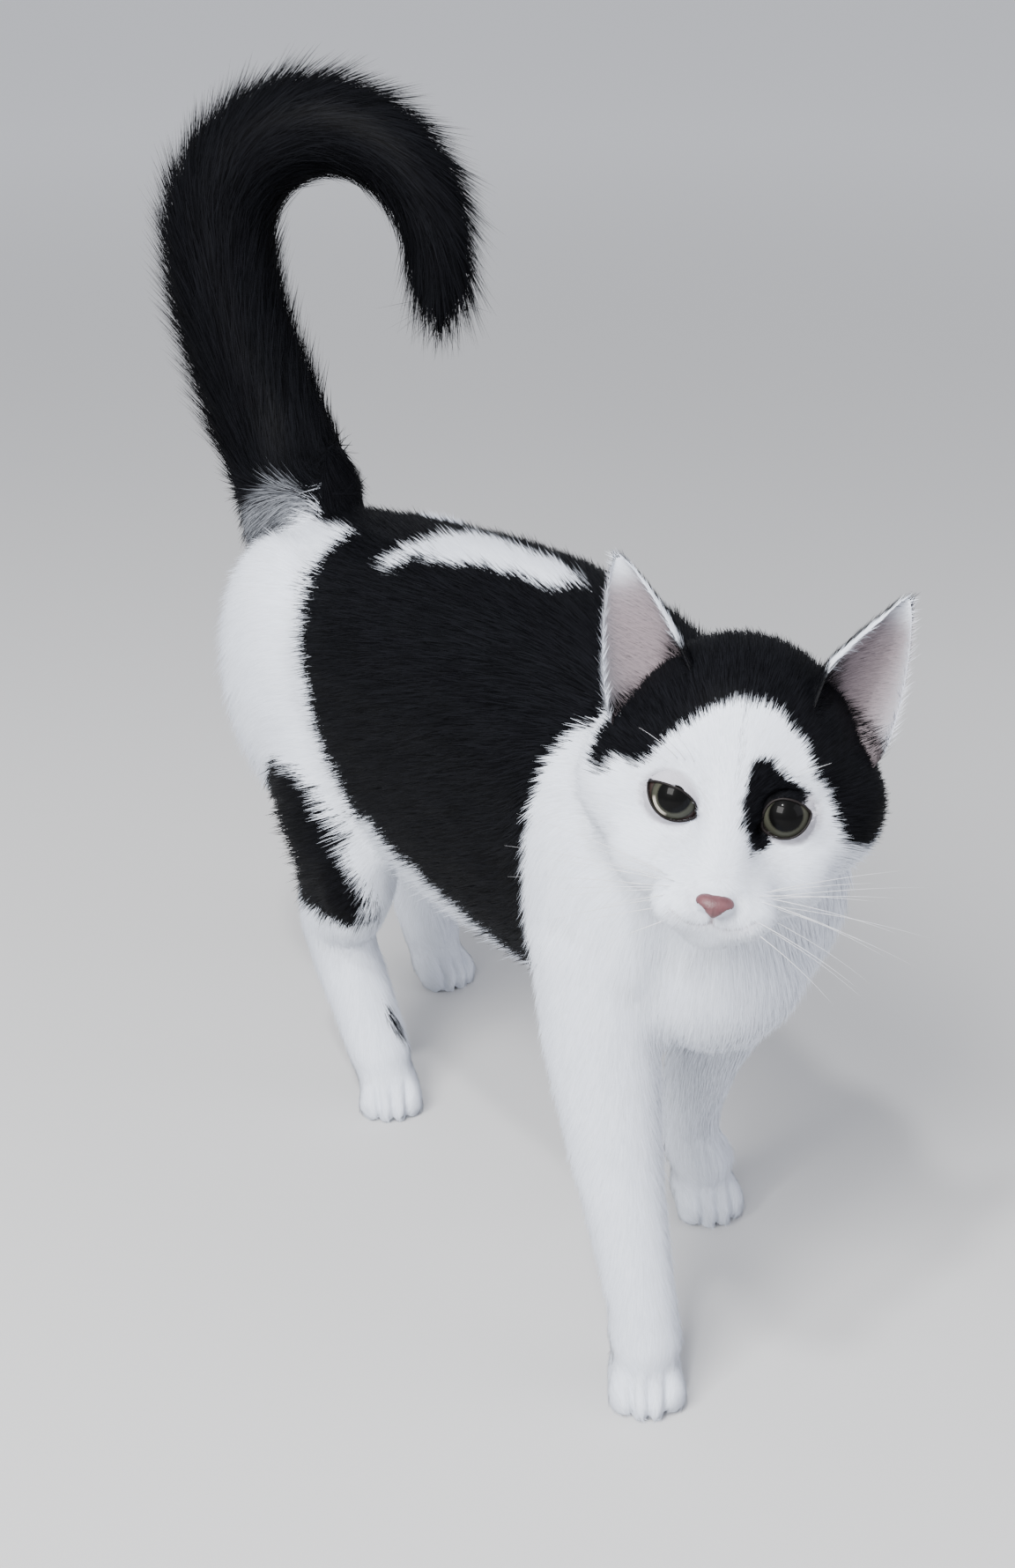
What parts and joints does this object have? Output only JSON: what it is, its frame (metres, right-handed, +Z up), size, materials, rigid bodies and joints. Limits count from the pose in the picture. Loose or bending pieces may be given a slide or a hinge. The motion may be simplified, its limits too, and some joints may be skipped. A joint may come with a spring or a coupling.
{
  "type": "cat figure",
  "caption": "Life-size still model of a standing black-and-white shorthaired cat, head turned to its right and tail raised and hooked over.",
  "frame": {"origin": "the middle of the ground the model covers, on the level of the soles", "axes": "+Z up, -Y the way the chest faces, +X the cat's left side"},
  "size_m": [0.1372, 0.4666, 0.4437],
  "materials": {
    "white_coat": "soft matte fur",
    "black_coat": "soft fur with a slight cool sheen",
    "ear": "matte, thinly haired",
    "eye": "wet gloss",
    "nose": "moist, satin"
  },
  "bodies": {
    "root": {"head": "white_coat", "front_paw_right": "white_coat", "front_paw_left": "white_coat", "forearm_right": "white_coat", "forearm_left": "white_coat", "upper_arm_right": "white_coat", "upper_arm_left": "white_coat", "hind_paw_right": "white_coat", "hind_paw_left": "white_coat", "metatarsus_right": "white_coat", "metatarsus_left": "white_coat", "thigh_right": "white_coat", "thigh_left": "white_coat", "tail_end": "black_coat", "tail_hook": "black_coat", "tail_middle": "black_coat", "tail_root": "black_coat", "neck": "black_coat", "chest": "black_coat", "hips": "black_coat", "belly": "black_coat", "shank_right": "black_coat", "shank_left": "black_coat", "ear_right": "ear", "ear_left": "ear", "eye_right": "eye", "eye_left": "eye", "nose": "nose"}
  },
  "joints": []
}
